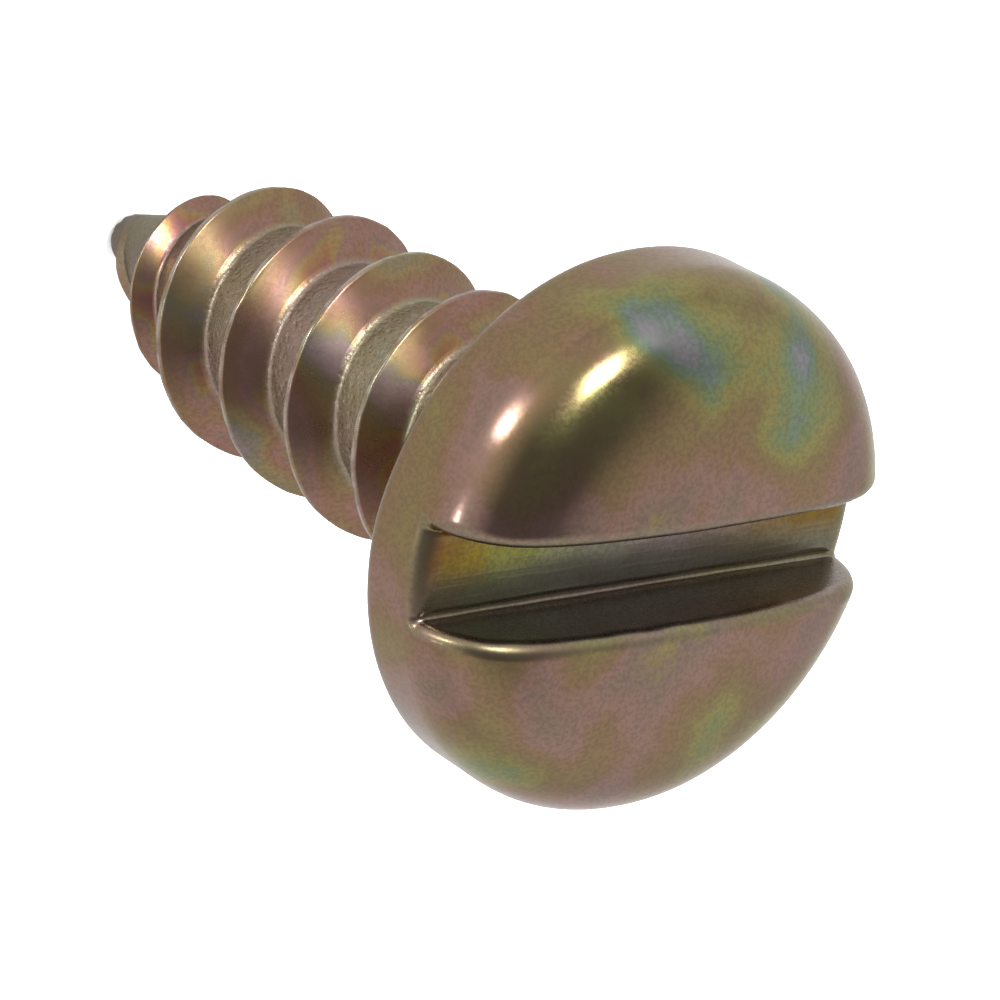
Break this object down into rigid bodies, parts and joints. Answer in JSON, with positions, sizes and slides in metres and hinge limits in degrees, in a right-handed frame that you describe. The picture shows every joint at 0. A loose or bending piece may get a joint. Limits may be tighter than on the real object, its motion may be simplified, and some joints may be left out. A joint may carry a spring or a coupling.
{
  "type": "wood screw",
  "caption": "Short slotted pan-head screw with a coarse right-hand self-tapping thread down to a blunt point, in yellow-passivated zinc plate.",
  "frame": {"origin": "centre of the head's bearing face, the flat underside of the head, on the screw's axis", "axes": "+Z along the screw's axis and out of the head, so the shank points down -Z; +X along the driver slot; +Y across the slot"},
  "size_m": [0.0082, 0.0082, 0.0146],
  "materials": {
    "yellow_zinc": "steel, zinc plated with yellow iridescent chromate passivation, semi-bright"
  },
  "bodies": {
    "root": {"screw": "yellow_zinc"}
  },
  "joints": []
}
